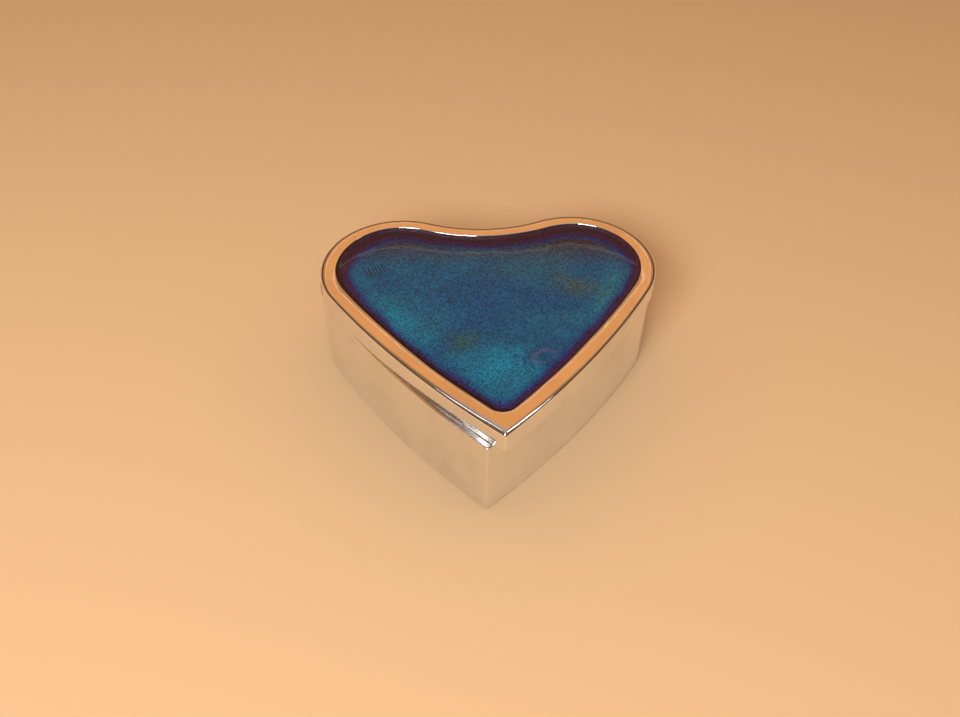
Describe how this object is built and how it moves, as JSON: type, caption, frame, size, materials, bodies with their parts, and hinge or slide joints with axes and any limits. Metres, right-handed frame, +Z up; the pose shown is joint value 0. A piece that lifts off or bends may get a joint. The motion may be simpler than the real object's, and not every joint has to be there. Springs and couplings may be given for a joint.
{
  "type": "trinket box",
  "caption": "Heart-shaped metal trinket box with a lift-off lid, a glossy inlaid top and a velvet lining, for small jewellery.",
  "frame": {"origin": "centre of the body's heart-shaped outline, on the surface that the box stands on", "axes": "+Z up; the heart's tip points along -Y and its two lobes along +Y; +X to the right seen from the tip"},
  "size_m": [0.0958, 0.0869, 0.0315],
  "materials": {
    "polished_metal": "mirror-polished casting",
    "enamel_colour": "pearlescent blue and teal with a purple border",
    "clear_coat": "clear glossy resin",
    "velvet": "short-pile navy velvet",
    "card": "plain grey-brown card",
    "foam": "soft open-cell foam",
    "felt": "pressed charcoal felt"
  },
  "bodies": {
    "box": {"body_shell": "polished_metal", "base_felt": "felt", "wall_velvet": "velvet", "floor_card": "card", "floor_foam": "foam", "floor_velvet": "velvet"},
    "lid": {"lid_shell": "polished_metal", "inlay_colour": "enamel_colour", "inlay_clear_coat": "clear_coat", "lid_card": "card", "lid_velvet": "velvet"}
  },
  "joints": [
    {"name": "lid_lift", "type": "slide", "parent": "box", "child": "lid", "axis": [0, 0, 1], "range_m": [0, 0.045]}
  ]
}
